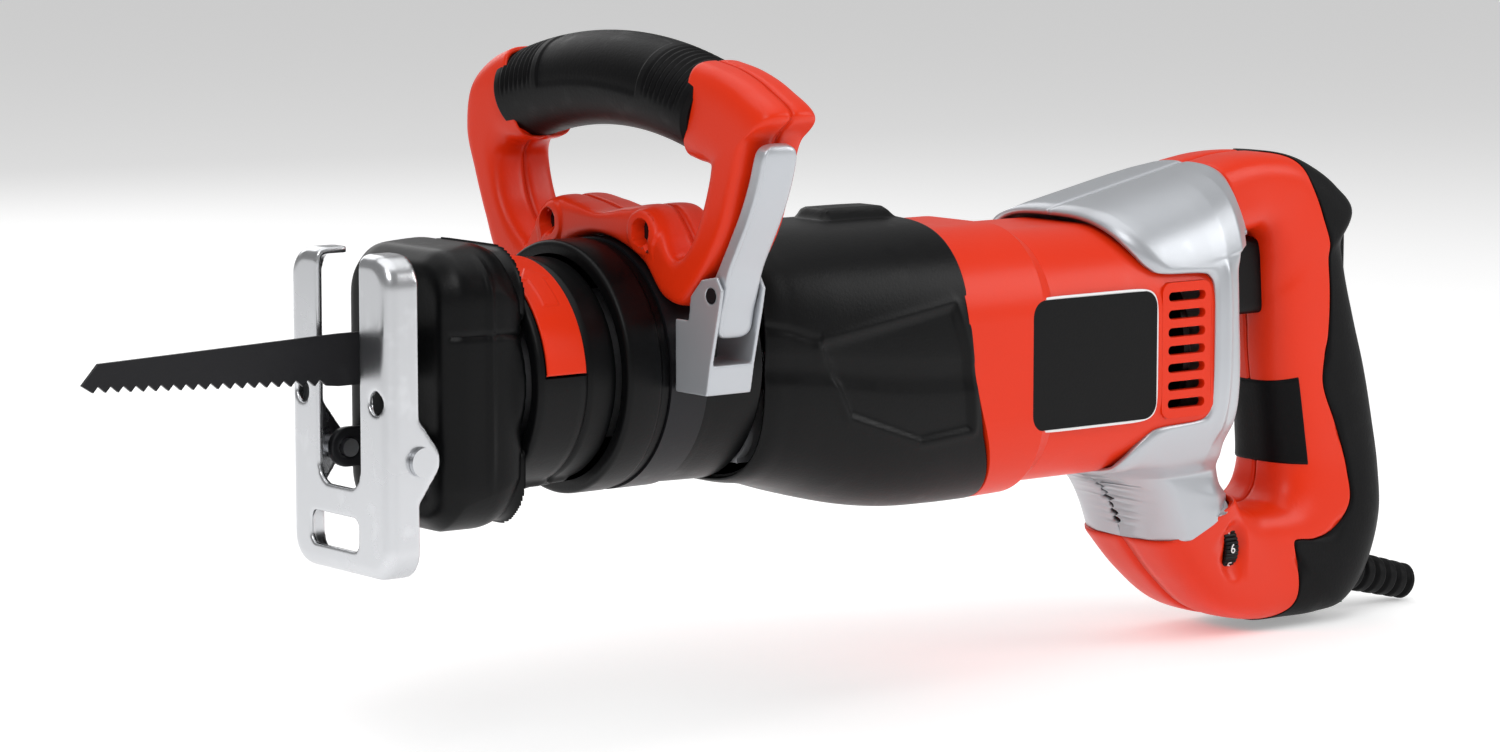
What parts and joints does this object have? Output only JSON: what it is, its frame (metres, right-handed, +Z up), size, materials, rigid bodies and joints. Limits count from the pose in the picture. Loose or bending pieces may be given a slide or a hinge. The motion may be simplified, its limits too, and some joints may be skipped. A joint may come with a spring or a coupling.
{
  "type": "reciprocating saw",
  "caption": "Corded reciprocating saw with a pivoting shoe, a hoop front handle clamped by a lever, a rear D handle and a keyless blade collar.",
  "frame": {"origin": "where the blade line crosses the plane of the shoe's front face", "axes": "+X out along the blade, +Z up towards the front handle, +Y to the side with the clamp lever"},
  "size_m": [0.5864, 0.1702, 0.2331],
  "materials": {
    "red_plastic": "satin moulded nylon",
    "black_plastic": "satin moulded nylon",
    "black_rubber": "soft matt overmould",
    "silver_paint": "metallic silver paint",
    "zinc_steel": "bright zinc plate",
    "dark_steel": "black oxide",
    "bearing_steel": "ground steel",
    "cast_aluminium": "die cast",
    "core_iron": "stacked laminations",
    "copper": "enamelled copper",
    "bronze": "sintered bronze",
    "carbon": "pressed carbon",
    "green_board": "potted circuit board"
  },
  "bodies": {
    "saw_body": {"gearcase_cover": "black_plastic", "gear_frame": "cast_aluminium", "front_tube": "cast_aluminium", "plunger_bushings": "bronze", "plunger_seal": "black_rubber", "frame_screws": "dark_steel", "nose_cover": "black_plastic", "shoe_post": "dark_steel", "post_screws": "dark_steel", "barrel_sleeve": "black_plastic", "gear_bearings": "bearing_steel", "armature_bearings": "bearing_steel", "motor_housing": "red_plastic", "stator_core": "core_iron", "field_coils": "copper", "brush_plate": "black_plastic", "brush_holders": "bronze", "brushes": "carbon", "brush_springs": "bronze", "side_plates": "black_plastic", "air_grilles": "red_plastic", "yoke_left": "silver_paint", "yoke_right": "silver_paint", "handle_left": "red_plastic", "handle_right": "red_plastic", "rear_overmould": "black_rubber", "grip_pad": "black_rubber", "handle_screws": "dark_steel", "switch": "black_plastic", "dial_potentiometer": "black_plastic", "control_board": "green_board", "cord_sleeve": "black_rubber"},
    "armature": {"armature_shaft": "bearing_steel", "pinion": "bearing_steel", "fan": "black_plastic", "laminations": "core_iron", "armature_windings": "copper", "commutator": "copper"},
    "crank": {"crank_gear": "bearing_steel", "gear_shaft": "bearing_steel", "crank_pin": "bearing_steel", "crank_roller": "bearing_steel"},
    "plunger": {"plunger": "bearing_steel", "blade_clamp": "dark_steel", "clamp_pin": "dark_steel", "blade": "dark_steel"},
    "shoe": {"shoe": "zinc_steel", "shoe_rivets": "zinc_steel"},
    "collar": {"release_collar": "black_plastic", "collar_band": "red_plastic"},
    "front_handle": {"hoop_front_shell": "red_plastic", "hoop_rear_shell": "red_plastic", "grip_sleeve": "black_rubber", "hoop_screws": "dark_steel", "clamp_strap": "zinc_steel", "lever_bracket": "silver_paint", "lever_pin": "dark_steel"},
    "lever": {"clamp_lever": "silver_paint"},
    "trigger": {"trigger": "black_plastic"},
    "dial": {"speed_dial": "black_plastic"}
  },
  "joints": [
    {"name": "armature_spin", "type": "hinge", "parent": "saw_body", "child": "armature", "pos_m": [-0.28, 0, -0.018], "axis": [1, 0, 0], "range_deg": [0, 900]},
    {"name": "crank_spin", "type": "hinge", "parent": "saw_body", "child": "crank", "pos_m": [-0.182, 0, 0], "axis": [0, 0, 1], "range_deg": [0, 180]},
    {"name": "plunger_stroke", "type": "slide", "parent": "saw_body", "child": "plunger", "axis": [-1, 0, 0], "range_m": [0, 0.028]},
    {"name": "shoe_pivot", "type": "hinge", "parent": "saw_body", "child": "shoe", "pos_m": [-0.0126, 0, -0.031], "axis": [0, 1, 0], "range_deg": [-5, 15]},
    {"name": "collar_turn", "type": "hinge", "parent": "saw_body", "child": "collar", "pos_m": [-0.068, 0, -0.009], "axis": [1, 0, 0], "range_deg": [0, 50], "stiffness_Nm_per_rad": 0.8},
    {"name": "front_handle_turn", "type": "hinge", "parent": "saw_body", "child": "front_handle", "pos_m": [-0.115, 0, -0.009], "axis": [1, 0, 0], "range_deg": [-90, 90]},
    {"name": "lever_open", "type": "hinge", "parent": "front_handle", "child": "lever", "pos_m": [-0.1115, 0.063, 0.019], "axis": [-1, 0, 0], "range_deg": [0, 58]},
    {"name": "trigger_pull", "type": "slide", "parent": "saw_body", "child": "trigger", "axis": [-1, 0, 0], "range_m": [0, 0.006], "stiffness_N_per_m": 900, "springref_m": -0.004},
    {"name": "speed_dial_turn", "type": "hinge", "parent": "saw_body", "child": "dial", "pos_m": [-0.375, 0.0148, -0.097], "axis": [1, 0, 0], "range_deg": [-300, 0]}
  ],
  "couplings": [
    {"joint": "crank_spin", "follows": "armature_spin", "ratio": 0.2},
    {"joint": "plunger_stroke", "follows": "armature_spin", "m_per_rad": 0.0017825}
  ]
}
